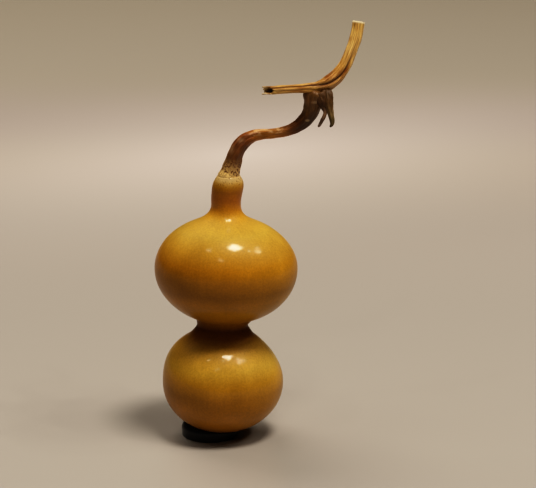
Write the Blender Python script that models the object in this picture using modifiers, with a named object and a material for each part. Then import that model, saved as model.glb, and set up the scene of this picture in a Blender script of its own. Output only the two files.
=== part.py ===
"""A dried bottle gourd with two bulbs, its fruit stalk and a cut length of vine, on a small dished stand.

Metres, +Z up. The origin is the centre of the stand's flat underside. +X points to the side that the
fruit stalk bends to, and -Y is the front. The gourd sits off the stand's centre, so that the vine's
weight and the two bulbs stay over the stand.
"""

import math

import bmesh
import bpy
from mathutils import Vector

MM = 0.001
GAP = 0.3 * MM

# The gourd's turned outline: each bulb is two half ellipses that share an equator.
LOWER_RADIUS = 24.4 * MM
LOWER_EQUATOR = 22.6 * MM
LOWER_DEPTH = 20.6 * MM
LOWER_RISE = 23.3 * MM
UPPER_RADIUS = 28.6 * MM
UPPER_EQUATOR = 70.2 * MM
UPPER_DEPTH = 22.2 * MM
UPPER_RISE = 21.3 * MM

# Where the bulbs leave their ellipses, in degrees from the equator, for the waist and the neck.
LOWER_LEAVES = 54
UPPER_ENTERS = -64
UPPER_LEAVES = 56
WAIST_RADIUS = 10.2 * MM
WAIST_HEIGHT = 45.5 * MM
WAIST_SOFTNESS = 0.8 * MM
NECK_RADIUS = 6.0 * MM
NECK_HEIGHT = 97.3 * MM
NECK_SOFTNESS = 5.4 * MM
COLLAR_RADIUS = 6.3 * MM
COLLAR_HEIGHT = 103.4 * MM
TOP_RADIUS = 4.2 * MM
TOP_HEIGHT = 108.2 * MM
BLOSSOM_SCAR_RADIUS = 2.2 * MM
BLOSSOM_SCAR_DEPTH = 0.4 * MM

# How the middle wanders sideways as it rises, as (height, X), and how far both bulbs are out of round.
GOURD_MIDDLE = [
    (0.0 * MM, 5.2 * MM),
    (23.0 * MM, 5.3 * MM),
    (38.0 * MM, 4.6 * MM),
    (46.0 * MM, 5.5 * MM),
    (52.0 * MM, 7.7 * MM),
    (69.0 * MM, 6.8 * MM),
    (88.0 * MM, 6.4 * MM),
    (97.0 * MM, 7.0 * MM),
    (108.2 * MM, 8.1 * MM),
]
OUT_OF_ROUND = 0.006

# The upper bulb is less deep than wide, by this share, up to about this far above and below its equator.
UPPER_FLATNESS = 0.1
FLATTENED_REACH = 21.0 * MM
GOURD_SIDES = 48
ELLIPSE_STEP = 8.5

# The stand: a low round pad, pressed hollow where the gourd sits in it.
STAND_RADIUS = 11.5 * MM
STAND_HEIGHT = 5.6 * MM
STAND_TOP_ROUND = 2.4 * MM
STAND_FOOT_ROUND = 0.5 * MM
STAND_SIDES = 48

# Each route is (X, Y, Z, radius) in millimetres, from the root outwards.
STALK_ROUTE = [
    (8.2, 0.0, 108.65, 4.1),
    (8.2, 0.0, 109.5, 3.85),
    (8.8, 0.0, 111.4, 3.5),
    (9.6, 0.1, 114.0, 3.22),
    (10.7, 0.3, 117.1, 3.05),
    (12.3, 0.8, 120.0, 2.9),
    (14.6, 1.4, 122.4, 2.7),
    (17.6, 2.0, 123.9, 2.35),
    (21.4, 2.6, 124.5, 2.05),
    (26.5, 3.2, 124.8, 1.95),
    (31.7, 3.6, 125.9, 2.1),
    (35.6, 3.8, 127.8, 2.4),
    (38.8, 3.6, 130.6, 2.75),
    (40.8, 3.3, 134.2, 3.15),
    (41.9, 3.0, 138.2, 3.5),
    (42.8, 2.9, 141.0, 3.75),
    (43.3, 2.9, 143.0, 2.9),
]
VINE_ROUTE = [
    (22.0, -7.7, 144.2, 1.6),
    (25.7, -5.6, 143.9, 1.68),
    (29.6, -3.4, 143.8, 1.7),
    (33.9, -1.2, 143.6, 1.72),
    (38.3, 1.0, 143.4, 1.9),
    (42.6, 2.5, 143.4, 2.35),
    (46.2, 3.2, 144.3, 2.75),
    (49.3, 3.5, 146.4, 2.85),
    (52.1, 3.8, 149.3, 2.7),
    (54.4, 4.3, 152.9, 2.5),
    (56.2, 5.0, 157.1, 2.4),
    (57.9, 6.0, 161.7, 2.4),
    (58.8, 6.9, 165.5, 2.4),
    (59.3, 7.6, 168.8, 2.45),
]
LEAF_STUB_ROUTE = [
    (47.6, 2.3, 143.4, 1.75),
    (48.1, 1.2, 140.9, 1.6),
    (48.6, 0.4, 138.6, 1.4),
    (49.0, -0.4, 136.2, 1.2),
    (49.4, -1.2, 133.1, 1.0),
    (49.8, -1.8, 130.9, 0.8),
    (49.5, -2.2, 129.6, 0.62),
    (48.4, -2.4, 128.7, 0.45),
]
TENDRIL_ROUTE = [
    (43.2, 0.9, 140.2, 1.4),
    (44.4, 0.0, 138.4, 1.15),
    (45.4, -0.7, 136.6, 0.9),
    (46.2, -1.2, 134.9, 0.72),
    (46.3, -1.7, 133.4, 0.7),
    (45.3, -2.1, 131.8, 0.9),
    (44.3, -2.5, 130.3, 0.8),
    (43.4, -2.8, 128.7, 0.5),
]
STALK_SIDES = 16
LEAF_STUB_SIDES = 12
TENDRIL_SIDES = 10
SAMPLES_PER_STRETCH = 2

# The vine is five-ridged, turns on itself past the joint with the stalk, and is hollow.
RIDGES = 5
SIDES_PER_RIDGE = 5
FURROW_DEPTH = 0.2
FIRST_FURROW = 27
VINE_TWIST = -70
TWIST_BEGINS = 0.3
TWIST_ENDS = 0.6
PITH_RADIUS = 0.95 * MM
TORN_END_HOLLOW = 6.0 * MM
CUT_END_HOLLOW = 2.5 * MM
TEAR_WIDTH = 0.8 * MM
TEAR_DEPTHS_MM = (3.6, 2.0, 2.6, 1.6, 3.0)

GOURD_SHELL = ("dried gourd shell", (0.62, 0.33, 0.055), 0.28)
STALK_BARK = ("dried fruit stalk", (0.17, 0.075, 0.03), 0.62)
VINE_STRAW = ("dried vine", (0.50, 0.28, 0.09), 0.6)
STUB_BARK = ("dried leaf stalk", (0.20, 0.13, 0.07), 0.7)
TENDRIL_BARK = ("dried tendril", (0.11, 0.055, 0.03), 0.7)
STAND_RUBBER = ("black rubber", (0.012, 0.011, 0.012), 0.55)


def clear_scene():
    """Removes what the startup file holds."""
    for thing in list(bpy.data.objects):
        bpy.data.objects.remove(thing, do_unlink=True)


def new_collection(name):
    """A collection in the scene."""
    collection = bpy.data.collections.new(name)
    bpy.context.scene.collection.children.link(collection)
    return collection


def finish_of(name, colour, roughness):
    """A Principled material with one colour."""
    material = bpy.data.materials.new(name)
    material.use_nodes = True
    shader = material.node_tree.nodes["Principled BSDF"]
    shader.inputs["Base Color"].default_value = (*colour, 1.0)
    shader.inputs["Roughness"].default_value = roughness
    shader.inputs["Metallic"].default_value = 0.0
    return material


def new_object(name, data, collection):
    """An object of this mesh or curve, in the collection."""
    thing = bpy.data.objects.new(name, data)
    collection.objects.link(thing)
    return thing


def as_mesh(thing, name, collection):
    """Makes a curve, or a mesh with modifiers, one plain welded mesh, and removes the original."""
    bpy.context.view_layer.update()
    graph = bpy.context.evaluated_depsgraph_get()
    mesh = bpy.data.meshes.new_from_object(thing.evaluated_get(graph))
    welded = bmesh.new()
    welded.from_mesh(mesh)
    bmesh.ops.remove_doubles(welded, verts=welded.verts, dist=0.00001)
    bmesh.ops.recalc_face_normals(welded, faces=welded.faces)
    welded.to_mesh(mesh)
    welded.free()
    solid = new_object(name, mesh, collection)
    solid.matrix_world = thing.matrix_world
    bpy.data.objects.remove(thing, do_unlink=True)
    return solid


def smooth_shade(thing, angle):
    """Shades an object smooth, with edges over the angle left sharp."""
    thing.data.shade_smooth()
    thing.data.set_sharp_from_angle(angle=math.radians(angle))


def cut(thing, cutters):
    """Takes each cutter out of the object with a Boolean that stays on it."""
    for cutter in cutters:
        cutter.hide_render = True
        cutter.display_type = "WIRE"
        boolean = thing.modifiers.new("cut by " + cutter.name, "BOOLEAN")
        boolean.operation = "DIFFERENCE"
        boolean.solver = "EXACT"
        boolean.object = cutter


# The gourd


def ellipse_arc(radius, height, middle, start, end):
    """(radius, height) points of an ellipse from one angle to another, in degrees from its equator."""
    steps = max(2, round(abs(end - start) / ELLIPSE_STEP))
    points = []
    for step in range(steps + 1):
        angle = math.radians(start + (end - start) * step / steps)
        points.append(Vector((radius * math.cos(angle), middle + height * math.sin(angle))))
    return points


def ellipse_heading(radius, height, angle):
    """The unit direction in which an ellipse rises at an angle."""
    turn = math.radians(angle)
    return Vector((-radius * math.sin(turn), height * math.cos(turn))).normalized()


def soft_bend(start, start_heading, end, end_heading, softness, steps):
    """Points of a cubic curve between two points and their headings, without its two ends."""
    first = start + start_heading * softness
    second = end - end_heading * softness
    points = []
    for step in range(1, steps):
        t = step / steps
        u = 1 - t
        points.append(u**3 * start + 3 * u * u * t * first + 3 * u * t * t * second + t**3 * end)
    return points


def gourd_outline():
    """The gourd's outline as (radius, height) points, from the blossom scar up to the flat top."""
    up = Vector((0, 1))
    waist = Vector((WAIST_RADIUS, WAIST_HEIGHT))
    neck = Vector((NECK_RADIUS, NECK_HEIGHT))
    collar = Vector((COLLAR_RADIUS, COLLAR_HEIGHT))
    scar_angle = -math.degrees(math.acos(BLOSSOM_SCAR_RADIUS / LOWER_RADIUS))
    lower = ellipse_arc(LOWER_RADIUS, LOWER_DEPTH, LOWER_EQUATOR, scar_angle, 0)
    lower += ellipse_arc(LOWER_RADIUS, LOWER_RISE, LOWER_EQUATOR, 0, LOWER_LEAVES)[1:]
    upper = ellipse_arc(UPPER_RADIUS, UPPER_DEPTH, UPPER_EQUATOR, UPPER_ENTERS, 0)
    upper += ellipse_arc(UPPER_RADIUS, UPPER_RISE, UPPER_EQUATOR, 0, UPPER_LEAVES)[1:]
    leaving_lower = ellipse_heading(LOWER_RADIUS, LOWER_RISE, LOWER_LEAVES)
    entering_upper = ellipse_heading(UPPER_RADIUS, UPPER_DEPTH, UPPER_ENTERS)
    leaving_upper = ellipse_heading(UPPER_RADIUS, UPPER_RISE, UPPER_LEAVES)
    crown = ellipse_arc(COLLAR_RADIUS - TOP_RADIUS, TOP_HEIGHT - COLLAR_HEIGHT, COLLAR_HEIGHT, 0, 90)
    crown = [point + Vector((TOP_RADIUS, 0)) for point in crown[::2]]
    scar = Vector((0, LOWER_EQUATOR - LOWER_DEPTH + BLOSSOM_SCAR_DEPTH))
    return [
        scar,
        *lower,
        *soft_bend(lower[-1], leaving_lower, waist, up, WAIST_SOFTNESS, 4),
        waist,
        *soft_bend(waist, up, upper[0], entering_upper, WAIST_SOFTNESS, 4),
        *upper,
        *soft_bend(upper[-1], leaving_upper, neck, up, NECK_SOFTNESS, 6),
        neck,
        *soft_bend(neck, up, collar, up, NECK_SOFTNESS / 3, 3),
        *crown,
        Vector((0, TOP_HEIGHT)),
    ]


def middle_at(height):
    """The gourd's middle, in X, at a height."""
    for (low, start), (high, end) in zip(GOURD_MIDDLE, GOURD_MIDDLE[1:]):
        if height <= high:
            share = max(0.0, (height - low) / (high - low))
            return start + (end - start) * share * share * (3 - 2 * share)
    return GOURD_MIDDLE[-1][1]


def depth_share(height):
    """The gourd's depth as a share of its width, at a height."""
    away = (height - UPPER_EQUATOR) / FLATTENED_REACH
    return 1 - UPPER_FLATNESS * math.exp(-(away**4))


def grown_shape(point):
    """Where a point of the turned gourd lies on the real one, which wanders and isn't quite round."""
    angle = math.atan2(point.y, point.x)
    swell = 1 + OUT_OF_ROUND * math.cos(2 * angle + 0.9) + OUT_OF_ROUND * 0.6 * math.cos(3 * angle)
    across = point.x * swell + middle_at(point.z)
    return Vector((across, point.y * swell * depth_share(point.z), point.z))


def turned(name, outline, sides, collection):
    """A closed solid turned about Z from a (radius, height) outline that starts and ends on the axis."""
    profile = bmesh.new()
    points = [profile.verts.new((point[0], 0, point[1])) for point in reversed(outline)]
    for start, end in zip(points, points[1:]):
        profile.edges.new((start, end))
    mesh = bpy.data.meshes.new(name)
    profile.to_mesh(mesh)
    profile.free()
    lathe = new_object(name + " outline", mesh, collection)
    screw = lathe.modifiers.new("turn", "SCREW")
    screw.steps = sides
    screw.render_steps = sides
    screw.use_merge_vertices = True
    screw.merge_threshold = 0.00001
    return as_mesh(lathe, name, collection)


def make_gourd(collection):
    """The fruit: two bulbs, the waist, the neck and its swollen collar, grown as one piece."""
    gourd = turned("gourd", gourd_outline(), GOURD_SIDES, collection)
    for vertex in gourd.data.vertices:
        vertex.co = grown_shape(vertex.co)
    gourd.data.materials.append(finish_of(*GOURD_SHELL))
    smooth_shade(gourd, 50)
    return gourd


# The stand


def make_stand(collection, cutters):
    """The pad under the gourd, hollowed to the lower bulb's own curve with a small gap to it."""
    foot = STAND_RADIUS - STAND_FOOT_ROUND
    brow = STAND_RADIUS - STAND_TOP_ROUND
    low = ellipse_arc(STAND_FOOT_ROUND, STAND_FOOT_ROUND, STAND_FOOT_ROUND, -90, 0)
    high = ellipse_arc(STAND_TOP_ROUND, STAND_TOP_ROUND, STAND_HEIGHT - STAND_TOP_ROUND, 0, 90)
    outline = [Vector((0, 0))]
    outline += [point + Vector((foot, 0)) for point in low[::3]]
    outline += [point + Vector((brow, 0)) for point in high[::2]]
    outline += [Vector((0, STAND_HEIGHT))]
    stand = turned("stand", outline, STAND_SIDES, collection)
    seat = bpy.data.meshes.new("seat")
    ball = bmesh.new()
    bmesh.ops.create_uvsphere(ball, u_segments=48, v_segments=36, radius=1.0)
    reach = LOWER_RADIUS * (1 + OUT_OF_ROUND) + GAP
    bmesh.ops.scale(ball, vec=(reach, reach, LOWER_DEPTH + GAP), verts=ball.verts)
    ball.to_mesh(seat)
    ball.free()
    seat_cutter = new_object("seat", seat, cutters)
    seat_cutter.location = (middle_at(0.0), 0, LOWER_EQUATOR)
    cut(stand, [seat_cutter])
    stand.data.materials.append(finish_of(*STAND_RUBBER))
    smooth_shade(stand, 40)
    return stand


# The stalk, the vine and what grows at their joint


def through(points, share):
    """A point on the smooth curve through four points, between the middle two."""
    before, start, end, after = points
    t = share
    return 0.5 * (
        2 * start
        + (end - before) * t
        + (2 * before - 5 * start + 4 * end - after) * t * t
        + (3 * start - before - 3 * end + after) * t**3
    )


def route_points(route):
    """A route's (X, Y, Z, radius) in metres, with the points between read from a smooth curve."""
    points = [Vector(point) * MM for point in route]
    padded = [2 * points[0] - points[1], *points, 2 * points[-1] - points[-2]]
    found = []
    for index in range(len(points) - 1):
        for step in range(SAMPLES_PER_STRETCH):
            found.append(through(padded[index : index + 4], step / SAMPLES_PER_STRETCH))
    return [*found, points[-1]]


def section(name, outline, collection):
    """A flat closed outline of radius 1 or so, which a curve's bevel repeats along its route."""
    curve = bpy.data.curves.new(name, "CURVE")
    curve.dimensions = "2D"
    spline = curve.splines.new("POLY")
    spline.points.add(len(outline) - 1)
    for point, (x, y) in zip(spline.points, outline):
        point.co = (x, y, 0, 1)
    spline.use_cyclic_u = True
    shape = new_object(name, curve, collection)
    shape.hide_render = True
    shape.display_type = "WIRE"
    return shape


def round_outline(sides):
    """A circle's corners."""
    turns = [2 * math.pi * side / sides for side in range(sides)]
    return [(math.cos(turn), math.sin(turn)) for turn in turns]


def ridged_outline():
    """The vine's cross-section: broad ridges with a narrow furrow between each two."""
    outline = []
    for side in range(RIDGES * SIDES_PER_RIDGE):
        turn = 2 * math.pi * side / (RIDGES * SIDES_PER_RIDGE)
        in_furrow = (0.5 + 0.5 * math.cos(RIDGES * turn)) ** 2
        reach = 1 - FURROW_DEPTH * in_furrow
        outline.append((reach * math.cos(turn), reach * math.sin(turn)))
    return outline


def stem(name, route, shape, collection, spare=0.0, twist=0.0):
    """A solid stem along a route, with the section's shape and the route's own thickness.

    spare is added to its radius, and twist is how far it turns on itself between the two twist shares.
    """
    points = route_points(route)
    curve = bpy.data.curves.new(name, "CURVE")
    curve.dimensions = "3D"
    curve.twist_mode = "MINIMUM"
    curve.bevel_mode = "OBJECT"
    curve.bevel_object = shape
    curve.use_fill_caps = True
    spline = curve.splines.new("POLY")
    spline.points.add(len(points) - 1)
    for index, (knot, point) in enumerate(zip(spline.points, points)):
        along = (index / (len(points) - 1) - TWIST_BEGINS) / (TWIST_ENDS - TWIST_BEGINS)
        knot.co = (*point[:3], 1)
        knot.radius = point[3] + spare
        knot.tilt = math.radians(twist) * min(1.0, max(0.0, along))
    tube = new_object(name + " line", curve, collection)
    return as_mesh(tube, name, collection)


def rod(name, start, towards, radius, reach, collection, tip_radius=None, sides=16):
    """A round cutter from a point along a direction. A tip radius near 0 makes it a spike."""
    shape = bmesh.new()
    bmesh.ops.create_cone(
        shape,
        cap_ends=True,
        segments=sides,
        radius1=radius,
        radius2=radius if tip_radius is None else tip_radius,
        depth=reach,
    )
    bmesh.ops.translate(shape, vec=(0, 0, reach / 2), verts=shape.verts)
    mesh = bpy.data.meshes.new(name)
    shape.to_mesh(mesh)
    shape.free()
    cutter = new_object(name, mesh, collection)
    cutter.location = start
    cutter.rotation_mode = "QUATERNION"
    cutter.rotation_quaternion = Vector(towards).to_track_quat("Z", "Y")
    return cutter


def vine_end_cutters(collection):
    """Hollows for both ends of the vine, and the tears between the ridges at its broken end."""
    points = [Vector(point[:3]) for point in route_points(VINE_ROUTE)]
    torn_tip, torn_way = points[0], (points[1] - points[0]).normalized()
    cut_tip, cut_way = points[-1], (points[-2] - points[-1]).normalized()
    outside = 0.5 * MM
    cutters = [
        rod("torn end hollow", torn_tip - torn_way * outside, torn_way, PITH_RADIUS,
            TORN_END_HOLLOW + outside, collection),
        rod("cut end hollow", cut_tip - cut_way * outside, cut_way, PITH_RADIUS,
            CUT_END_HOLLOW + outside, collection),
    ]
    sideways = torn_way.cross(Vector((0, 0, 1))).normalized()
    upwards = sideways.cross(torn_way)
    reach = VINE_ROUTE[0][3] * MM
    for index, depth in enumerate(TEAR_DEPTHS_MM):
        turn = math.radians(FIRST_FURROW + 360 * index / RIDGES)
        spoke = sideways * math.cos(turn) + upwards * math.sin(turn)
        start = torn_tip + spoke * reach - torn_way * outside
        cutters.append(
            rod(f"tear {index + 1}", start, torn_way, TEAR_WIDTH, depth * MM + outside, collection,
                tip_radius=0.05 * MM, sides=6)
        )
    return cutters


def make_stems(collection, cutters):
    """The fruit stalk, the vine it grew from, and the leaf stalk's stub and the tendril at their joint."""
    ridged = section("ridged section", ridged_outline(), cutters)
    stalk_round = section("stalk section", round_outline(STALK_SIDES), cutters)
    stub_round = section("stub section", round_outline(LEAF_STUB_SIDES), cutters)
    tendril_round = section("tendril section", round_outline(TENDRIL_SIDES), cutters)

    room_for_vine = stem("vine room", VINE_ROUTE, stalk_round, cutters, spare=GAP)
    room_for_stalk = stem("stalk room", STALK_ROUTE, stalk_round, cutters, spare=GAP)
    room_for_stub = stem("stub room", LEAF_STUB_ROUTE, stub_round, cutters, spare=GAP)

    vine = stem("vine", VINE_ROUTE, ridged, collection, twist=VINE_TWIST)
    cut(vine, vine_end_cutters(cutters))
    vine.data.materials.append(finish_of(*VINE_STRAW))

    stalk = stem("fruit_stalk", STALK_ROUTE, stalk_round, collection)
    cut(stalk, [room_for_vine])
    stalk.data.materials.append(finish_of(*STALK_BARK))

    stub = stem("leaf_stalk_stub", LEAF_STUB_ROUTE, stub_round, collection)
    cut(stub, [room_for_vine, room_for_stalk])
    stub.data.materials.append(finish_of(*STUB_BARK))

    tendril = stem("tendril", TENDRIL_ROUTE, tendril_round, collection)
    cut(tendril, [room_for_vine, room_for_stalk, room_for_stub])
    tendril.data.materials.append(finish_of(*TENDRIL_BARK))

    for piece in (vine, stalk, stub, tendril):
        smooth_shade(piece, 50)


def main():
    clear_scene()
    parts = new_collection("dried bottle gourd")
    cutters = new_collection("cutters and guides")
    cutters.hide_render = True
    make_gourd(parts)
    make_stand(parts, cutters)
    make_stems(parts, cutters)


main()
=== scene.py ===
"""The looks of a dried bottle gourd on its small stand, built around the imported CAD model.

Everything is in metres in the model's own frame: +Z is up, -Y is the front and the origin is the centre
of the stand's underside. The pieces' sizes are written in millimetres, and MM turns them to metres. Those
of the floor and the lamps are in metres.
"""

import math

import bmesh
import bpy
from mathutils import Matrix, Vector, noise


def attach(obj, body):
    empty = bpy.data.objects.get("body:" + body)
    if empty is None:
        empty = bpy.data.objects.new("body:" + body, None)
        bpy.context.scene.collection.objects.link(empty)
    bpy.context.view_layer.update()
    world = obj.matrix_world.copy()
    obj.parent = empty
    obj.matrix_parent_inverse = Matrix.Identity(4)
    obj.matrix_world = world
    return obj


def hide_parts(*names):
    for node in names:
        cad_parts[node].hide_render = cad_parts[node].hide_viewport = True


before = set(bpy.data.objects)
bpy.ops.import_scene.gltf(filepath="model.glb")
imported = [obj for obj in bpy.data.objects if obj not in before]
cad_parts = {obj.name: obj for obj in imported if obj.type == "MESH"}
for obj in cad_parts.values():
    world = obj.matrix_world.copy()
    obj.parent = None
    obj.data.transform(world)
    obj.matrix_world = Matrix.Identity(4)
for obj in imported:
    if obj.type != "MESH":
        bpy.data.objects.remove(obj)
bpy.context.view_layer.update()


# The gourd
#
# A bottle gourd's hard dry shell, grown as one piece: two bulbs, a waist, and a neck whose swollen
# collar carries the stalk. It was scraped, dried and waxed, so it is smooth and glossy over fine veins.

MM = 0.001
ROOT = "root"
UP = Vector((0, 1))

# Each bulb is half an ellipse below its middle height and half an ellipse above it. The outline enters or
# leaves it at an angle in degrees.
LOWER_BULB = {"radius": 24.4, "middle": 22.6, "down": 20.6, "up": 23.3, "leaves": 56}
UPPER_BULB = {"radius": 28.6, "middle": 70.2, "down": 22.2, "up": 21.3, "enters": -64, "leaves": 58}
# (radius, height) of the outline's narrow and wide places, and how far it runs straight through each.
WAIST = Vector((10.2, 46.7))
NECK = Vector((5.9, 96.8))
COLLAR = Vector((6.25, 103.4))
COLLAR_TOP = Vector((4.5, 108.4))
WAIST_SOFTNESS = 0.9
NECK_SOFTNESS = 5.0
COLLAR_SOFTNESS = NECK_SOFTNESS / 3
COLLAR_TOP_SOFTNESS = 2.0
CLOSING_IN = Vector((-0.6, 0.8))
COLLAR_LIP, COLLAR_DIP = 0.15, 0.2
BLOSSOM_SCAR, SCAR_DIMPLE = 2.2, 0.4
# (height, X of the shell's middle): the bulbs and the neck don't stand quite above each other.
GOURD_MIDDLE = [
    (0.0, 5.2), (23.0, 5.3), (38.0, 4.3), (46.0, 5.2), (52.0, 7.0), (69.0, 6.8), (88.0, 6.4),
    (97.0, 7.0), (108.2, 8.1),
]
# No shell is quite round: the upper bulb is flatter from front to back, and a short rib runs down the
# front of the neck. RIB_WIDTH is in degrees. The rib and the lumps shrink within LEAST_REACH of the axis.
OUT_OF_ROUND = 0.006
UPPER_FLATNESS = 0.1
FLATTENED_REACH = 21.0
RIB_HEIGHT, RIB_WIDTH = 0.55, 24.0
RIB_AT, RIB_LENGTH = 95.2, 2.6
LUMP_HEIGHT = 0.12
LUMP_WIDTH = 14.0
LEAST_REACH = 4.0
GOURD_SIDES = 192
ARC_STEP = 2.0


def arc(radius, height, middle, start, end):
    """(radius, height) points of an ellipse from one angle to another, in degrees from its equator."""
    steps = max(2, round(abs(end - start) / ARC_STEP))
    angles = [math.radians(start + (end - start) * step / steps) for step in range(steps + 1)]
    return [Vector((radius * math.cos(a), middle + height * math.sin(a))) for a in angles]


def heading(radius, height, angle):
    """The unit direction in which an ellipse rises at an angle."""
    turn = math.radians(angle)
    return Vector((-radius * math.sin(turn), height * math.cos(turn))).normalized()


def bend(start, start_heading, end, end_heading, softness, steps):
    """A cubic curve's points between two points and their headings, without its start."""
    first = start + start_heading * softness
    second = end - end_heading * softness
    points = []
    for step in range(1, steps + 1):
        t = step / steps
        u = 1 - t
        points.append(u**3 * start + 3 * u * u * t * first + 3 * u * t * t * second + t**3 * end)
    return points


def gourd_outline():
    """The gourd's outline as (radius, height) in millimetres, from the blossom scar to the collar's top."""
    low, high = LOWER_BULB, UPPER_BULB
    scar_angle = -math.degrees(math.acos(BLOSSOM_SCAR / low["radius"]))
    outline = [Vector((0, low["middle"] - low["down"] + SCAR_DIMPLE))]
    outline += arc(low["radius"], low["down"], low["middle"], scar_angle, 0)
    outline += arc(low["radius"], low["up"], low["middle"], 0, low["leaves"])[1:]
    leaving = heading(low["radius"], low["up"], low["leaves"])
    outline += bend(outline[-1], leaving, WAIST, UP, WAIST_SOFTNESS, 8)
    above = arc(high["radius"], high["down"], high["middle"], high["enters"], 0)
    entering = heading(high["radius"], high["down"], high["enters"])
    outline += bend(WAIST, UP, above[0], entering, WAIST_SOFTNESS, 8)
    outline += above[1:]
    outline += arc(high["radius"], high["up"], high["middle"], 0, high["leaves"])[1:]
    leaving = heading(high["radius"], high["up"], high["leaves"])
    outline += bend(outline[-1], leaving, NECK, UP, NECK_SOFTNESS, 16)
    outline += bend(NECK, UP, COLLAR, UP, COLLAR_SOFTNESS, 8)
    outline += bend(COLLAR, UP, COLLAR_TOP, CLOSING_IN, COLLAR_TOP_SOFTNESS, 14)
    return outline + [COLLAR_TOP - Vector((COLLAR_LIP, 0)), Vector((0, COLLAR_TOP.y - COLLAR_DIP))]


def middle_at(height):
    """How far the gourd's middle is from the origin in X, at a height, both in millimetres."""
    for (low, start), (high, end) in zip(GOURD_MIDDLE, GOURD_MIDDLE[1:]):
        if height <= high:
            share = max(0.0, (height - low) / (high - low))
            return start + (end - start) * share * share * (3 - 2 * share)
    return GOURD_MIDDLE[-1][1]


def depth_share(height):
    """The gourd's depth as a share of its width, at a height in millimetres: the upper bulb is flattened."""
    away = (height - UPPER_BULB["middle"]) / FLATTENED_REACH
    return 1 - UPPER_FLATNESS * math.exp(-(away**4))


def grown(point):
    """A point of the turned outline, moved to where the real shell has it, which is never quite round."""
    angle = math.atan2(point.y, point.x)
    height = point.z / MM
    reach = max(math.hypot(point.x, point.y) / MM, LEAST_REACH)
    lump = LUMP_HEIGHT * noise.noise(point / (LUMP_WIDTH * MM))
    aside = (math.degrees(angle) + 90) / RIB_WIDTH
    rib = RIB_HEIGHT * math.exp(-(aside**2) - ((height - RIB_AT) / RIB_LENGTH) ** 2)
    oval = OUT_OF_ROUND * (math.cos(2 * angle + 0.9) + 0.6 * math.cos(3 * angle))
    swell = 1 + oval + (lump + rib) / reach
    return Vector((point.x * swell + middle_at(height) * MM, point.y * swell * depth_share(height), point.z))


def piece_from(shape, name):
    """Makes a bmesh a smooth-shaded object in the scene, with its faces pointing outwards."""
    bmesh.ops.remove_doubles(shape, verts=shape.verts, dist=0.004 * MM)
    bmesh.ops.recalc_face_normals(shape, faces=shape.faces)
    mesh = bpy.data.meshes.new(name)
    shape.to_mesh(mesh)
    shape.free()
    mesh.shade_smooth()
    piece = bpy.data.objects.new(name, mesh)
    bpy.context.scene.collection.objects.link(piece)
    return piece


def write_vectors(piece, name, values):
    """Keeps one vector for each vertex of a piece, for its material to read."""
    layer = piece.data.attributes.new(name, "FLOAT_VECTOR", "POINT")
    layer.data.foreach_set("vector", [number for value in values for number in value])


def linear(colour):
    """An sRGB colour, such as "#c8a040", as the linear RGBA that a shader takes."""
    parts = [int(colour[start : start + 2], 16) / 255 for start in (1, 3, 5)]
    return [c / 12.92 if c <= 0.04045 else ((c + 0.055) / 1.055) ** 2.4 for c in parts] + [1.0]


def add(tree, kind, settings=None, links=None, stops=None):
    """Adds a node. A setting is one of its properties or, by name or number, a socket's value.

    Links feed its sockets from other nodes' outputs, and stops are a colour ramp's (place, colour).
    """
    made = tree.nodes.new("ShaderNode" + kind)
    for key, value in (settings or {}).items():
        if isinstance(key, str) and key not in made.inputs:
            setattr(made, key, value)
        else:
            made.inputs[key].default_value = value
    for key, source in (links or {}).items():
        tree.links.new(source, made.inputs[key])
    if stops:
        ramp = made.color_ramp
        ramp.elements.remove(ramp.elements[0])
        for index, (place, colour) in enumerate(stops):
            stop = ramp.elements[0] if index == 0 else ramp.elements.new(place)
            stop.position = place
            stop.color = linear(colour) if isinstance(colour, str) else (colour,) * 3 + (1.0,)
    return made


def new_finish(name, **shader_values):
    """A named material and its Principled shader, set to plain values."""
    material = bpy.data.materials.new(name)
    material.use_nodes = True
    shader = material.node_tree.nodes["Principled BSDF"]
    for key, value in shader_values.items():
        shader.inputs[key.replace("_", " ")].default_value = value
    return material, material.node_tree, shader


def repeats(size):
    """The scale of a pattern whose grains are a size across, in millimetres."""
    return 1 / (size * MM)


# A Mix node's settings for colours, and the numbers of its colour sockets.
RGB = {"data_type": "RGBA"}
MULTIPLY_RGB = {"data_type": "RGBA", "blend_type": "MULTIPLY"}
FACTOR, COLOUR_A, COLOUR_B, COLOUR_OUT = 0, 6, 7, 2


def tinted(tree, colour, pattern, stops, strength=1.0):
    """A colour multiplied by the tints that a pattern's values pick from a ramp's stops."""
    tint = add(tree, "ValToRGB", links={"Fac": pattern}, stops=stops)
    return add(tree, "Mix", {**MULTIPLY_RGB, FACTOR: strength},
               {COLOUR_A: colour, COLOUR_B: tint.outputs[0]}).outputs[COLOUR_OUT]


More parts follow.
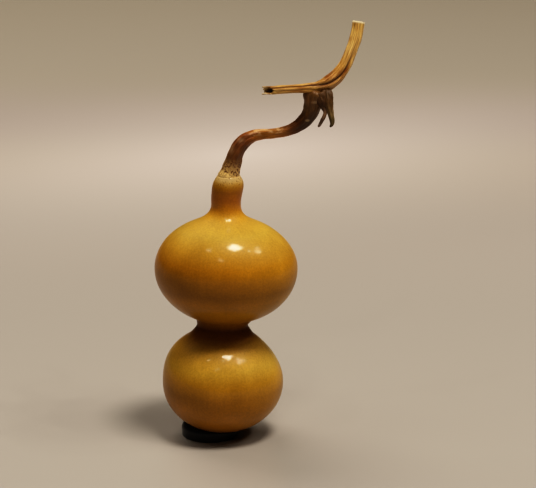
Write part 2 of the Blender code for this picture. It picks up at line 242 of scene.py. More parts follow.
# Colours of the shell by height. They are partly the shell's own colour and partly painted light. The pale
# yellow shoulders of both bulbs (33-39 mm and 82-91 mm) carry a painted reflection of a bright ceiling in
# the wax. The bulbs' undersides (11-17 mm and near 61 mm) are lighter with painted bounce light from the
# floor. The darker band near 64.5 mm is painted shade. Stain and painted shade under the upper bulb darken
# the waist. The light spot near 93 mm is a painted highlight on the neck, and handling has darkened the
# neck above it. The sides are orange. The collar's top is raw, pale and dotted with brown.
SHELL_COLOURS_AND_PAINTED_LIGHT = [
    (1.0, "#a26f23"), (12.0, "#b57c1a"), (17.0, "#bc821d"), (22.0, "#ad791e"), (27.5, "#be8d2b"),
    (33.0, "#c69f3f"), (39.0, "#cea345"), (43.5, "#8e6025"), (46.5, "#734820"), (51.0, "#a06f1e"),
    (57.0, "#ac7b1e"), (61.0, "#b67f1c"), (64.5, "#a47016"), (70.0, "#ac7718"), (76.0, "#c18821"),
    (82.0, "#c69a3a"), (87.0, "#c5a44a"), (91.0, "#c6a046"), (93.0, "#d0a03c"), (95.5, "#c48a2a"),
    (99.0, "#b2721a"), (102.5, "#aa7014"), (104.2, "#b4801f"), (105.6, "#c39a4c"), (106.8, "#d0b276"),
    (108.4, "#d2b682"),
]
SHELL_TOP = 110.0
# (height, how thick the wax lies): hardly any reached into the waist, and little the collar's top.
WAX = [(0.0, 0.3), (40.0, 0.3), (44.0, 0.04), (49.0, 0.04), (53.0, 0.3), (104.0, 0.3), (106.0, 0.12)]
# How far across the grains of each pattern are. The real speckle is finer than the picture shows, so it
# is drawn coarse. CLOUD_DRIFT is how far up and down the bands of colour wander, and VEIN_STRETCH is a
# vein's width as a share of its length.
CLOUD_SIZE = 16.0
CLOUD_DRIFT = 1.6
VEIN_WIDTH = 1.3
VEIN_STRETCH = 0.09
SPECKLE_SIZE = 0.75
COLLAR_DOT_SIZE = 0.8
COLLAR_DOTS_FROM, COLLAR_DOTS_FULL = 104.4, 105.8
PIT_SIZE = 1.9
PIT_DEPTH = 0.35
GRAIN_RADIUS = 25.0
# Places in X and in height for painted light: painted shade dulls the left side, and painted light from
# the right makes the right of the bulbs a lighter yellow.
PAINTED_SHADE_SIDE, PAINTED_LIGHT_SIDE = -22, 36
YELLOW_FROM, YELLOW_FULL = 8, 32
YELLOW_BELOW, YELLOW_FULL_BELOW = 86, 78
PAINTED_LIGHT_TINT = (1.06, 1.18, 1.7, 1.0)


def shell_finish():
    """Waxed gourd shell: a clear gloss over ochre and painted light, soft clouds, lengthwise veins and a fine
    speckle.
    """
    material, tree, shader = new_finish(
        "waxed gourd shell", Roughness=0.45, IOR=1.5, Coat_Roughness=0.045, Coat_IOR=1.6
    )
    place = add(tree, "TexCoord").outputs["Object"]
    grain = add(tree, "Attribute", {"attribute_name": "grain"}).outputs["Vector"]

    clouds = add(tree, "TexNoise", {"Scale": repeats(CLOUD_SIZE), "Detail": 3.0, "Roughness": 0.55},
                 {"Vector": place})
    height = add(tree, "SeparateXYZ", links={0: place}).outputs["Z"]
    drift = add(tree, "MapRange", {"To Min": -CLOUD_DRIFT * MM, "To Max": CLOUD_DRIFT * MM},
                {"Value": clouds.outputs["Fac"]})
    wavering = add(tree, "Math", {"operation": "ADD"}, {0: height, 1: drift.outputs[0]})
    share = add(tree, "MapRange", {"From Max": SHELL_TOP * MM}, {"Value": wavering.outputs[0]})
    stops = [(height_mm / SHELL_TOP, colour) for height_mm, colour in SHELL_COLOURS_AND_PAINTED_LIGHT]
    by_height = add(tree, "ValToRGB", links={"Fac": share.outputs[0]}, stops=stops)

    clouded = tinted(tree, by_height.outputs[0], clouds.outputs["Fac"], [(0.3, 0.86), (0.7, 1.1)])

    stretch = add(tree, "Mapping", {"Scale": (1.0, 1.0, VEIN_STRETCH)}, {"Vector": grain})
    veins = add(tree, "TexNoise", {"Scale": repeats(VEIN_WIDTH), "Detail": 3.0, "Roughness": 0.6},
                {"Vector": stretch.outputs[0]})
    veined = tinted(tree, clouded, veins.outputs["Fac"], [(0.33, 0.84), (0.62, 1.07)], 0.25)

    speckle = add(tree, "TexNoise", {"Scale": repeats(SPECKLE_SIZE), "Detail": 2.0, "Roughness": 0.7},
                  {"Vector": place})
    speckled = tinted(tree, veined, speckle.outputs["Fac"], [(0.35, 0.86), (0.65, 1.1)], 0.75)

    dots = add(tree, "TexNoise", {"Scale": repeats(COLLAR_DOT_SIZE), "Detail": 2.0}, {"Vector": place})
    dot_edge = add(tree, "MapRange", {"From Min": 0.54, "From Max": 0.74}, {"Value": dots.outputs["Fac"]})
    on_collar = add(tree, "MapRange", {"From Min": COLLAR_DOTS_FROM * MM, "From Max": COLLAR_DOTS_FULL * MM},
                    {"Value": height})
    dotted = add(tree, "Math", {"operation": "MULTIPLY"}, {0: dot_edge.outputs[0], 1: on_collar.outputs[0]})
    skin = add(tree, "Mix", {**RGB, COLOUR_B: linear("#6b4416")},
               {FACTOR: dotted.outputs[0], COLOUR_A: speckled}).outputs[COLOUR_OUT]

    # Painted light by side: painted shade darkens the left, and a lighter painted yellow lies on the right
    # below the shoulders.
    across = add(tree, "SeparateXYZ", links={0: place}).outputs["X"]
    from_left = add(tree, "MapRange", {"From Min": PAINTED_SHADE_SIDE * MM, "From Max": PAINTED_LIGHT_SIDE * MM},
                    {"Value": across})
    left_painted_shade = tinted(tree, skin, from_left.outputs[0],
                     [(0.0, "#ece8e4"), (0.45, "#f8f8f6"), (0.8, "#ffffff")])
    right_painted_light = add(tree, "MapRange", {"From Min": YELLOW_FROM * MM, "From Max": YELLOW_FULL * MM},
                  {"Value": across})
    below = add(tree, "MapRange", {"From Min": YELLOW_BELOW * MM, "From Max": YELLOW_FULL_BELOW * MM},
                {"Value": height})
    tint = add(tree, "Math", {"operation": "MULTIPLY"}, {0: right_painted_light.outputs[0], 1: below.outputs[0]})
    side_painted_light = add(tree, "Mix", {**MULTIPLY_RGB, COLOUR_B: PAINTED_LIGHT_TINT},
                   {FACTOR: tint.outputs[0], COLOUR_A: left_painted_shade})
    tree.links.new(side_painted_light.outputs[COLOUR_OUT], shader.inputs["Base Color"])

    wax = add(tree, "ValToRGB", links={"Fac": share.outputs[0]},
              stops=[(z / SHELL_TOP, weight) for z, weight in WAX])
    tree.links.new(wax.outputs[0], shader.inputs["Coat Weight"])
    dulled = add(tree, "Math", {"operation": "MULTIPLY", 1: 0.5}, {0: wax.outputs[0]})
    tree.links.new(dulled.outputs[0], shader.inputs["Specular IOR Level"])

    pits = add(tree, "TexNoise", {"Scale": repeats(PIT_SIZE), "Detail": 4.0, "Roughness": 0.6},
               {"Vector": place})
    relief = add(tree, "Math", {"operation": "MULTIPLY_ADD", 1: 0.35},
                 {0: veins.outputs["Fac"], 2: pits.outputs["Fac"]})
    bump = add(tree, "Bump", {"Strength": 0.16, "Distance": PIT_DEPTH * MM}, {"Height": relief.outputs[0]})
    tree.links.new(bump.outputs[0], shader.inputs["Normal"])
    tree.links.new(bump.outputs[0], shader.inputs["Coat Normal"])
    gloss = add(tree, "MapRange", {"To Min": 0.34, "To Max": 0.5}, {"Value": speckle.outputs["Fac"]})
    tree.links.new(gloss.outputs[0], shader.inputs["Roughness"])
    return material


def make_gourd():
    """Spins the outline, then gives the shell its lean, its rib and its small lumps."""
    shape = bmesh.new()
    outline = gourd_outline()
    corners = [shape.verts.new((point.x * MM, 0, point.y * MM)) for point in outline]
    edges = [shape.edges.new(pair) for pair in zip(corners, corners[1:])]
    bmesh.ops.spin(shape, geom=corners + edges, axis=(0, 0, 1), cent=(0, 0, 0), angle=math.tau,
                   steps=GOURD_SIDES, use_merge=True)
    gourd = piece_from(shape, "gourd_shell")
    lengths = [0.0]
    for low, high in zip(outline, outline[1:]):
        lengths.append(lengths[-1] + (high - low).length)
    heights = [point.y for point in outline]
    grain = []
    for vertex in gourd.data.vertices:
        turn = math.atan2(vertex.co.y, vertex.co.x)
        row = min(range(len(heights)), key=lambda index: abs(heights[index] * MM - vertex.co.z))
        across = Vector((math.cos(turn), math.sin(turn))) * GRAIN_RADIUS
        grain.append(Vector((*across, lengths[row])) * MM)
        vertex.co = grown(vertex.co)
    write_vectors(gourd, "grain", grain)
    gourd.data.materials.append(shell_finish())
    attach(gourd, ROOT)
    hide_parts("gourd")


make_gourd()


# The fruit stalk
#
# The stem that the gourd hung by, dried hard into an S. It is round with shallow lengthwise ribs, pale
# and speckled where it leaves the collar, golden along the bend with pale flakes on its top that paint a
# highlight, and dark brown up to the vine.

# Each stem's route is points on its middle line, as (X, Y, Z, radius), from its root outwards.
STALK_ROUTE = [
    (7.95, 0.0, 106.8, 4.55), (8.25, 0.0, 108.3, 4.45), (8.5, 0.0, 109.3, 4.05), (8.8, 0.0, 110.4, 3.75),
    (9.3, 0.0, 112.3, 3.42), (9.95, 0.1, 114.4, 3.22), (10.8, 0.3, 117.1, 3.1), (12.3, 0.8, 120.0, 2.9),
    (14.6, 1.4, 122.4, 2.7), (17.6, 2.0, 123.9, 2.35), (21.4, 2.6, 124.5, 2.05), (26.5, 3.2, 124.8, 1.95),
    (31.7, 3.6, 125.9, 2.1), (35.6, 3.8, 127.8, 2.4), (38.8, 3.6, 130.6, 2.8), (40.7, 3.3, 134.2, 3.25),
    (41.6, 3.0, 138.0, 3.8), (42.2, 2.9, 140.6, 4.1), (42.6, 2.9, 142.0, 3.5), (42.9, 2.9, 142.8, 2.2),
]
STALK_ROWS = 150
STALK_SIDES = 72
# How much wider the stalk is towards the tendril where it meets the vine, and where along it that and
# the knobbly bark begin and are full.
JOINT_SWELL = 0.35
SWELL_FROM, SWELL_FULL = 49.0, 54.0
KNOBBLY_FROM, KNOBBLY_FULL = 42.0, 52.0
FRONT = Vector((0, -1, 0))
ROUTE_STEPS = 12
HEADING_SPAN = 0.4


def through(points, share):
    """A point on the smooth curve through four points, between the middle two."""
    before, start, end, after = points
    t = share
    return 0.5 * (
        2 * start
        + (end - before) * t
        + (2 * before - 5 * start + 4 * end - after) * t * t
        + (3 * start - before - 3 * end + after) * t**3
    )


class Route:
    """A stem's middle line with its thickness, read by the distance along it in millimetres."""

    def __init__(self, knots):
        points = [Vector(knot) for knot in knots]
        padded = [2 * points[0] - points[1], *points, 2 * points[-1] - points[-2]]
        self.points = []
        for index in range(len(points) - 1):
            for step in range(ROUTE_STEPS):
                self.points.append(through(padded[index : index + 4], step / ROUTE_STEPS))
        self.points.append(points[-1])
        self.marks = [0.0]
        for start, end in zip(self.points, self.points[1:]):
            self.marks.append(self.marks[-1] + (end.xyz - start.xyz).length)
        self.length = self.marks[-1]

    def at(self, distance):
        """(X, Y, Z, radius) at a distance, going on straight past either end."""
        index = 0
        while index < len(self.marks) - 2 and self.marks[index + 1] < distance:
            index += 1
        start, end = self.points[index : index + 2]
        share = (distance - self.marks[index]) / (self.marks[index + 1] - self.marks[index])
        return start + (end - start) * share

    def sideways(self, distance):
        """Two ways square to the stem: to the front, and then up or to a side."""
        onwards = (self.at(distance + HEADING_SPAN).xyz - self.at(distance - HEADING_SPAN).xyz).normalized()
        front = (FRONT - onwards * FRONT.dot(onwards)).normalized()
        return front, front.cross(onwards)


def sleeve(rows, sides):
    """A straight open tube of radius 1 whose height runs from 0 to its number of rows."""
    tube = bmesh.new()
    bmesh.ops.create_circle(tube, segments=sides, radius=1.0)
    rim = list(tube.edges)
    for _ in range(rows):
        made = bmesh.ops.extrude_edge_only(tube, edges=rim)["geom"]
        moved = [item for item in made if isinstance(item, bmesh.types.BMVert)]
        bmesh.ops.translate(tube, vec=(0, 0, 1), verts=moved)
        fresh = set(moved)
        rim = [item for item in made if isinstance(item, bmesh.types.BMEdge) and set(item.verts) <= fresh]
    return tube


def make_stem(name, route, rings, sides, reach, slip=None):
    """Draws a sleeve over a route, and keeps each vertex's place on the straight stem as its grain.

    Each ring is (distance, share of the radius), and reach(turn, distance) is the section's own shape.
    slip(turn, distance) moves a point along the stem, for ragged ends.
    """
    tube = sleeve(len(rings) - 1, sides)
    grain = []
    tube.verts.ensure_lookup_table()
    for vertex in tube.verts:
        turn = math.atan2(vertex.co.y, vertex.co.x)
        distance, share = rings[round(vertex.co.z)]
        if slip:
            distance += slip(turn, distance)
        spot = route.at(distance)
        front, aside = route.sideways(distance)
        far = spot[3] * share * reach(turn, distance)
        vertex.co = (spot.xyz + (front * math.cos(turn) + aside * math.sin(turn)) * far) * MM
        radius = max(spot[3], 1.0)
        grain.append(Vector((radius * math.cos(turn), radius * math.sin(turn), distance)) * MM)
    marks = tube.verts.layers.float_vector.new("grain")
    for vertex, value in zip(tube.verts, grain):
        vertex[marks] = value
    return piece_from(tube, name)


def closed_rings(length, rows, cap=0.6):
    """Evenly spaced rings with rounded, closed ends that are a cap's length deep."""
    rings = [(-0.2 * cap, 0.0), (0.0, 0.7)]
    rings += [(cap + (length - 2 * cap) * row / rows, 1.0) for row in range(rows + 1)]
    return rings + [(length, 0.7), (length + 0.2 * cap, 0.0)]


def smooth_step(value, start, end):
    """0 before the start, 1 after the end, and an even curve between."""
    share = min(1.0, max(0.0, (value - start) / (end - start)))
    return share * share * (3 - 2 * share)


def stalk_reach(turn, distance):
    """Shallow uneven ribs, a little knobbly, and knobblier where it thickens into the joint with the vine."""
    drift = distance * 0.025
    ribs = 0.05 * math.cos(5 * (turn + drift)) + 0.02 * math.cos(13 * (turn - drift) + 1.0)
    coarse = 0.07 + 0.08 * smooth_step(distance, KNOBBLY_FROM, KNOBBLY_FULL)
    knobs = coarse * noise.noise(Vector((1.6 * math.cos(turn), 1.6 * math.sin(turn), distance * 0.35)))
    fibres = 0.015 * noise.noise(Vector((7 * math.cos(turn), 7 * math.sin(turn), distance * 0.2)))
    fade = min(1.0, max(0.0, distance - 1.0) / 5.0)
    joint = JOINT_SWELL * smooth_step(distance, SWELL_FROM, SWELL_FULL) * max(0.0, -math.sin(turn)) ** 2
    return 1 + (ribs + knobs + fibres) * fade + joint


# (distance along the stalk, colour): a pale foot, a golden bend, and dark bark up to the vine.
STALK_COLOURS = [
    (0.0, "#d0b278"), (2.2, "#d8b878"), (4.2, "#bc9c64"), (7.0, "#8e6e44"), (10.0, "#6f4926"),
    (15.0, "#6a3e1a"), (19.0, "#86501e"), (24.0, "#ac7228"), (30.0, "#b67c34"), (33.5, "#9a662a"),
    (36.5, "#6c421c"), (40.5, "#4c2e16"), (45.0, "#50361a"), (49.0, "#705029"), (53.0, "#785630"),
    (60.0, "#78582e"),
]
# Pale patches on its front: (middle, half width, half height, strength). The first three are worn scars
# near the vine, and the two faint wide ones low on the bend are painted sheen.
MARKS = [
    ((39.2, 0.8, 130.6), 1.1, 0.75, 1.0), ((42.6, -1.0, 138.2), 2.2, 0.8, 0.75),
    ((44.8, -1.2, 140.6), 1.5, 0.8, 0.85), ((9.2, -1.2, 119.6), 1.9, 3.4, 0.24),
    ((12.6, -1.0, 123.0), 2.6, 1.3, 0.24),
]
STALK_COLOURS_END = 62.0
# Where along the stalk the pale flakes on its upper side paint a highlight along the bend.
PAINTED_HIGHLIGHT_FLAKES = (22.0, 32.0)
DOTTED_FOOT = (3.5, 8.5)
FADE_LENGTH = 2.5
# How far across the grains of every stem's patterns are. Real fibres are too fine for the picture, so
# these are drawn several times as wide. BARK_DRIFT is how far along the stem the colours wander.
BARK_CLOUD_SIZE = 3.5
BARK_DRIFT = 2.5
BARK_FIBRE_WIDTH = 0.45
FLAKE_WIDTH = 1.1
FOOT_DOT_SIZE = 0.75
BARK_RELIEF = 0.2


def between(tree, along, value, start, end):
    """A value that is kept between two distances along a stem and fades out beyond them."""
    coming = add(tree, "MapRange", {"From Min": (start - FADE_LENGTH) * MM, "From Max": start * MM},
                 {"Value": along})
    going = add(tree, "MapRange", {"From Min": (end + FADE_LENGTH) * MM, "From Max": end * MM},
                {"Value": along})
    both = add(tree, "Math", {"operation": "MULTIPLY"}, {0: coming.outputs[0], 1: going.outputs[0]})
    return add(tree, "Math", {"operation": "MULTIPLY"}, {0: value, 1: both.outputs[0]}).outputs[0]


def stem_finish(name, colours, length, streak, fleck, flecks_from, roughness,
                highlight_span=None, dotted=None, marks=()):
    """Dry stem bark: dull, with colours that change along it under lengthwise fibres and lighter flakes.

    streak is how far the fibres' lightness goes up and down, and flecks_from is how high the flakes' noise
    has to be for one to show. Where the span of the painted highlight gives two distances, the flakes show
    between them alone, on its upper side, as a painted highlight. Where dotted gives them, it is dotted brown
    between them. marks are pale patches: worn scars, and faint painted sheen.
    """
    material, tree, shader = new_finish(name, Roughness=roughness, IOR=1.45)
    grain = add(tree, "Attribute", {"attribute_name": "grain"}).outputs["Vector"]
    along = add(tree, "SeparateXYZ", links={0: grain}).outputs["Z"]
    clouds = add(tree, "TexNoise", {"Scale": repeats(BARK_CLOUD_SIZE), "Detail": 3.0}, {"Vector": grain})
    drift = add(tree, "MapRange", {"To Min": -BARK_DRIFT * MM, "To Max": BARK_DRIFT * MM},
                {"Value": clouds.outputs["Fac"]})
    wavering = add(tree, "Math", {"operation": "ADD"}, {0: along, 1: drift.outputs[0]})
    share = add(tree, "MapRange", {"From Max": length * MM}, {"Value": wavering.outputs[0]})
    by_length = add(tree, "ValToRGB", links={"Fac": share.outputs[0]},
                    stops=[(distance / length, colour) for distance, colour in colours])

    stretch = add(tree, "Mapping", {"Scale": (1.0, 1.0, 0.12)}, {"Vector": grain})
    fibres = add(tree, "TexNoise", {"Scale": repeats(BARK_FIBRE_WIDTH), "Detail": 4.0, "Roughness": 0.65},
                 {"Vector": stretch.outputs[0]})
    fibrous = tinted(tree, by_length.outputs[0], fibres.outputs["Fac"],
                     [(0.32, 1 - streak), (0.66, 1 + streak)])

    flake_map = add(tree, "Mapping", {"Scale": (1.0, 1.0, 0.4)}, {"Vector": grain})
    flakes = add(tree, "TexNoise", {"Scale": repeats(FLAKE_WIDTH), "Detail": 3.0, "Roughness": 0.6},
                 {"Vector": flake_map.outputs[0]})
    flake_edge = add(tree, "MapRange", {"From Min": flecks_from, "From Max": flecks_from + 0.12},
                     {"Value": flakes.outputs["Fac"]})
    flake_share = flake_edge.outputs[0]
    # Flakes kept to the upper side within a span are a painted highlight.
    if highlight_span:
        upwards = add(tree, "SeparateXYZ", links={0: grain}).outputs["Y"]
        upper = add(tree, "MapRange", {"From Min": -0.2 * MM, "From Max": 0.9 * MM}, {"Value": upwards})
        flakes_as_painted_highlight = add(tree, "Math", {"operation": "MULTIPLY"}, {0: flake_share, 1: upper.outputs[0]})
        flake_share = between(tree, along, flakes_as_painted_highlight.outputs[0], *highlight_span)
    bark = add(tree, "Mix", {**RGB, COLOUR_B: linear(fleck)},
               {FACTOR: flake_share, COLOUR_A: fibrous}).outputs[COLOUR_OUT]
    if dotted:
        dots = add(tree, "TexNoise", {"Scale": repeats(FOOT_DOT_SIZE), "Detail": 2.0}, {"Vector": grain})
        dot_edge = add(tree, "MapRange", {"From Min": 0.5, "From Max": 0.62}, {"Value": dots.outputs["Fac"]})
        dot_share = between(tree, along, dot_edge.outputs[0], *dotted)
        bark = add(tree, "Mix", {**RGB, COLOUR_B: linear("#64381a")},
                   {FACTOR: dot_share, COLOUR_A: bark}).outputs[COLOUR_OUT]
    place = add(tree, "TexCoord").outputs["Object"]
    patch_breakup = add(tree, "MapRange", {"From Min": 0.42, "From Max": 0.56, "To Min": 0.5},
               {"Value": flakes.outputs["Fac"]})
    # Each mark lightens a pale patch: worn scars near the vine, and faint painted sheen lower on the bend.
    for middle, wide, high, strength in marks:
        off = add(tree, "VectorMath", {"operation": "SUBTRACT", 1: Vector(middle) * MM}, {0: place})
        shares = add(tree, "VectorMath",
                     {"operation": "MULTIPLY", 1: (repeats(wide), repeats(wide), repeats(high))},
                     {0: off.outputs[0]})
        away = add(tree, "VectorMath", {"operation": "LENGTH"}, {0: shares.outputs[0]})
        patch = add(tree, "MapRange", {"From Min": 1.0, "From Max": 0.35, "To Max": strength},
                    {"Value": away.outputs["Value"]})
        scar_and_sheen = add(tree, "Math", {"operation": "MULTIPLY"}, {0: patch.outputs[0], 1: patch_breakup.outputs[0]})
        bark = add(tree, "Mix", {**RGB, COLOUR_B: linear("#ccb08a")},
                   {FACTOR: scar_and_sheen.outputs[0], COLOUR_A: bark}).outputs[COLOUR_OUT]
    tree.links.new(bark, shader.inputs["Base Color"])

    relief = add(tree, "Math", {"operation": "ADD"}, {0: fibres.outputs["Fac"], 1: flakes.outputs["Fac"]})
    bump = add(tree, "Bump", {"Strength": 0.6, "Distance": BARK_RELIEF * MM}, {"Height": relief.outputs[0]})
    tree.links.new(bump.outputs[0], shader.inputs["Normal"])
    return material


def make_stalk():
    """One closed skin from inside the collar to inside the vine."""
    route = Route(STALK_ROUTE)
    rings = closed_rings(route.length, STALK_ROWS)
    stalk = make_stem("fruit_stalk_bark", route, rings, STALK_SIDES, stalk_reach)
    stalk.data.materials.append(
        stem_finish("dried fruit stalk bark", STALK_COLOURS, STALK_COLOURS_END, streak=0.32, fleck="#dcb27c",
                    flecks_from=0.46, roughness=0.42, highlight_span=PAINTED_HIGHLIGHT_FLAKES, dotted=DOTTED_FOOT, marks=MARKS)
    )
    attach(stalk, ROOT)
    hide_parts("fruit_stalk")


make_stalk()


# The vine
#
# A straw-gold length of the climbing stem, six-ridged and hollow. Its left arm was snapped, so its end
# is a ragged pipe, and its right arm was cut, so its end is flat and pale.

VINE_ROUTE = [
    (22.0, -7.7, 144.2, 1.6), (25.7, -5.6, 143.9, 1.68), (29.6, -3.4, 143.8, 1.7), (33.9, -1.2, 143.6, 1.72),
    (38.3, 1.0, 143.4, 1.9), (42.6, 2.5, 143.4, 2.35), (46.2, 3.2, 144.3, 2.75), (49.3, 3.5, 146.4, 2.85),
    (52.1, 3.8, 149.3, 2.7), (54.4, 4.3, 152.9, 2.5), (56.2, 5.0, 157.1, 2.4), (57.9, 6.0, 161.7, 2.4),
    (58.8, 6.9, 165.5, 2.4), (59.3, 7.6, 168.8, 2.45),
]
VINE_SIDES = 144
VINE_ROWS = 190
RIDGES = 6
# Depths are shares of the vine's radius. Widths and places round it are in degrees from its front. The
# deepest furrow runs high on the left arm's front, turns to the right arm's front, and fades there.
MAIN_FURROW = {"depth": 0.3, "width": 13.0}
OTHER_FURROWS = {"depth": 0.15, "width": 16.0}
FURROW_ON_LEFT_ARM = 46.0
FURROW_ON_RIGHT_ARM = -18.0
TURNS_FROM, TURNS_TO = 19.0, 36.0
FURROW_FADES_FROM, FURROW_FADES_TO = 38.0, 47.0
# How wide the painted shade along the deepest furrow is, in degrees.
FURROW_SHADE_WIDTH = 9.0
PITH_SHARE = 0.58
TORN_HOLLOW = 10.0
TORN_FADE = 10.0
UPPER_SPLINTER = {"at": 95, "width": 20, "length": 1.6}
LOWER_SPLINTER = {"at": -86, "width": 18, "length": 1.8}
CUT_HOLLOW = 1.6
INSIDE_SHARE = 0.78


def furrow_turn(distance):
    """Where the deepest furrow runs, in degrees round the vine from the front."""
    share = smooth_step(distance, TURNS_FROM, TURNS_TO)
    return FURROW_ON_LEFT_ARM + (FURROW_ON_RIGHT_ARM - FURROW_ON_LEFT_ARM) * share


def furrow_strength(distance):
    """How strong the deepest furrow is: it fades out towards the cut end."""
    return 1 - 0.7 * smooth_step(distance, FURROW_FADES_FROM, FURROW_FADES_TO)


def vine_reach(turn, distance):
    """Broad ridges parted by narrow furrows, of which one is much deeper, with fine fibres over all."""
    reach = 1.0
    for index in range(RIDGES):
        sort = MAIN_FURROW if index == 0 else OTHER_FURROWS
        depth = sort["depth"] * (furrow_strength(distance) if index == 0 else 1.0)
        middle = furrow_turn(distance) + index * 360 / RIDGES + (index % 2) * 5
        away = (math.degrees(turn) - middle + 180) % 360 - 180
        reach -= depth * math.exp(-((away / sort["width"]) ** 2))
    reach += 0.02 * noise.noise(Vector((5 * math.cos(turn), 5 * math.sin(turn), distance * 0.12)))
    reach += 0.05 * noise.noise(Vector((1.4 * math.cos(turn), 1.4 * math.sin(turn), distance * 0.3)))
    return reach + 0.04


def splinter_at(turn, splinter):
    """How far a splinter of the snapped end stands out, in millimetres."""
    aside = (math.degrees(turn) - splinter["at"]) / splinter["width"]
    return splinter["length"] * math.exp(-(aside**2))


def torn_edge(turn):
    """How far the snapped end is pulled back: its front wall broke off shorter, between two splinters."""
    back = 0.9 + 2.5 * max(0.0, math.cos(turn)) ** 0.6
    teeth = 0.8 * noise.noise(Vector((2.6 * math.cos(turn), 2.6 * math.sin(turn), 3.0)))
    fibres = 0.9 * noise.noise(Vector((8 * math.cos(turn), 8 * math.sin(turn), 9.0)))
    return back + teeth + fibres - splinter_at(turn, UPPER_SPLINTER) - splinter_at(turn, LOWER_SPLINTER)


def vine_slip(turn, distance):
    """The torn edge's raggedness, fading out along the left arm."""
    return torn_edge(turn) * (1 - smooth_step(distance, 0.0, TORN_FADE))


def vine_rings(length):
    """From the floor of the torn hollow out over its rim, along the vine, and into the cut end's pith."""
    hollow = [(TORN_HOLLOW, 0.0), (TORN_HOLLOW, PITH_SHARE)]
    hollow += [(TORN_HOLLOW * (1 - step / 8), PITH_SHARE + 0.14 * (step / 8) ** 3) for step in range(1, 9)]
    outside = [(0.02, 0.86)]
    outside += [(0.1 + (length - 0.25) * row / VINE_ROWS, 1.0) for row in range(VINE_ROWS + 1)]
    end = [(length, 0.94), (length, 0.8), (length, 0.62), (length - 0.1, 0.45), (length - 0.5, 0.36)]
    return hollow + outside + end + [(length - CUT_HOLLOW, 0.3), (length - CUT_HOLLOW, 0.0)]


# (distance along the vine, colour), from the dull snapped end to the bright cut one.
VINE_COLOURS = [
    (0.0, "#c4a765"), (8.0, "#c49e59"), (18.0, "#cca55c"), (25.0, "#b38e4e"), (31.0, "#cca062"),
    (37.0, "#e2ba6e"), (44.0, "#efcd86"), (52.0, "#eac678"), (57.0, "#dab66a"),
]
STRAW_FIBRE_WIDTH = 0.5
STAIN_SIZE = 2.2
STRAW_RELIEF = 0.18


def vine_finish(length):
    """Dry vine: golden straw with glossy fibres, red-brown painted shade in its deepest furrow and torn
    hollow, and pale raw wood at both ends.
    """
    material, tree, shader = new_finish("dried vine straw", Roughness=0.42, IOR=1.45)
    grain = add(tree, "Attribute", {"attribute_name": "grain"}).outputs["Vector"]
    depth = add(tree, "Attribute", {"attribute_name": "furrow"}).outputs["Fac"]
    raw = add(tree, "Attribute", {"attribute_name": "raw_wood"}).outputs["Fac"]
    along = add(tree, "SeparateXYZ", links={0: grain}).outputs["Z"]
    share = add(tree, "MapRange", {"From Max": length * MM}, {"Value": along})
    straw = add(tree, "ValToRGB", links={"Fac": share.outputs[0]},
                stops=[(min(1.0, distance / length), colour) for distance, colour in VINE_COLOURS])
    stretch = add(tree, "Mapping", {"Scale": (1.0, 1.0, 0.05)}, {"Vector": grain})
    fibres = add(tree, "TexNoise", {"Scale": repeats(STRAW_FIBRE_WIDTH), "Detail": 4.0, "Roughness": 0.68},
                 {"Vector": stretch.outputs[0]})
    fibrous = tinted(tree, straw.outputs[0], fibres.outputs["Fac"],
                     [(0.3, "#a4907c"), (0.44, "#dccab4"), (0.58, "#ffffff"), (0.72, 1.45)])
    stain_map = add(tree, "Mapping", {"Scale": (1.0, 1.0, 0.35)}, {"Vector": grain})
    stains = add(tree, "TexNoise", {"Scale": repeats(STAIN_SIZE), "Detail": 3.0},
                 {"Vector": stain_map.outputs[0]})
    stain_edge = add(tree, "MapRange", {"From Min": 0.5, "From Max": 0.72}, {"Value": stains.outputs["Fac"]})
    stained = add(tree, "Mix", {**MULTIPLY_RGB, COLOUR_B: linear("#be9c80")},
                  {FACTOR: stain_edge.outputs[0], COLOUR_A: fibrous})
    # Painted shade: the deepest furrow and the inside of the torn hollow are darkened.
    furrow_painted_shade = add(tree, "Mix", {**RGB, COLOUR_B: linear("#4a2410")},
                   {FACTOR: depth, COLOUR_A: stained.outputs[COLOUR_OUT]})
    ends = add(tree, "Mix", {**RGB, COLOUR_B: linear("#ecdcb4")},
               {FACTOR: raw, COLOUR_A: furrow_painted_shade.outputs[COLOUR_OUT]})
    tree.links.new(ends.outputs[COLOUR_OUT], shader.inputs["Base Color"])
    bump = add(tree, "Bump", {"Strength": 0.6, "Distance": STRAW_RELIEF * MM},
               {"Height": fibres.outputs["Fac"]})
    tree.links.new(bump.outputs[0], shader.inputs["Normal"])
    return material


def write_shares(piece, name, values):
    """Keeps one number for each vertex of a piece, for its material to read."""
    layer = piece.data.attributes.new(name, "FLOAT", "POINT")
    layer.data.foreach_set("value", values)


def vine_tints(route, point, grain):
    """How much painted shade darkens the deepest furrow and the inside of the torn hollow at a point of the
    vine, and how pale its raw wood is.
    """
    across, up, along = grain / MM
    spot = route.at(along)
    inside = (point / MM - spot.xyz).length < INSIDE_SHARE * spot[3]
    aside = (math.degrees(math.atan2(up, across)) - furrow_turn(along) + 180) % 360 - 180
    dark = 0.85 * furrow_strength(along) * math.exp(-((aside / FURROW_SHADE_WIDTH) ** 2))
    pale = smooth_step(along, route.length - 0.9, route.length - 0.4)
    if inside and along < TORN_HOLLOW + 1:
        # Painted shade inside the torn hollow.
        dark = max(dark, 0.55 * smooth_step(along, 1.4, 3.0))
        pale = max(pale, 0.7 * (1 - smooth_step(along, 0.4, 2.4)))
    return dark, pale


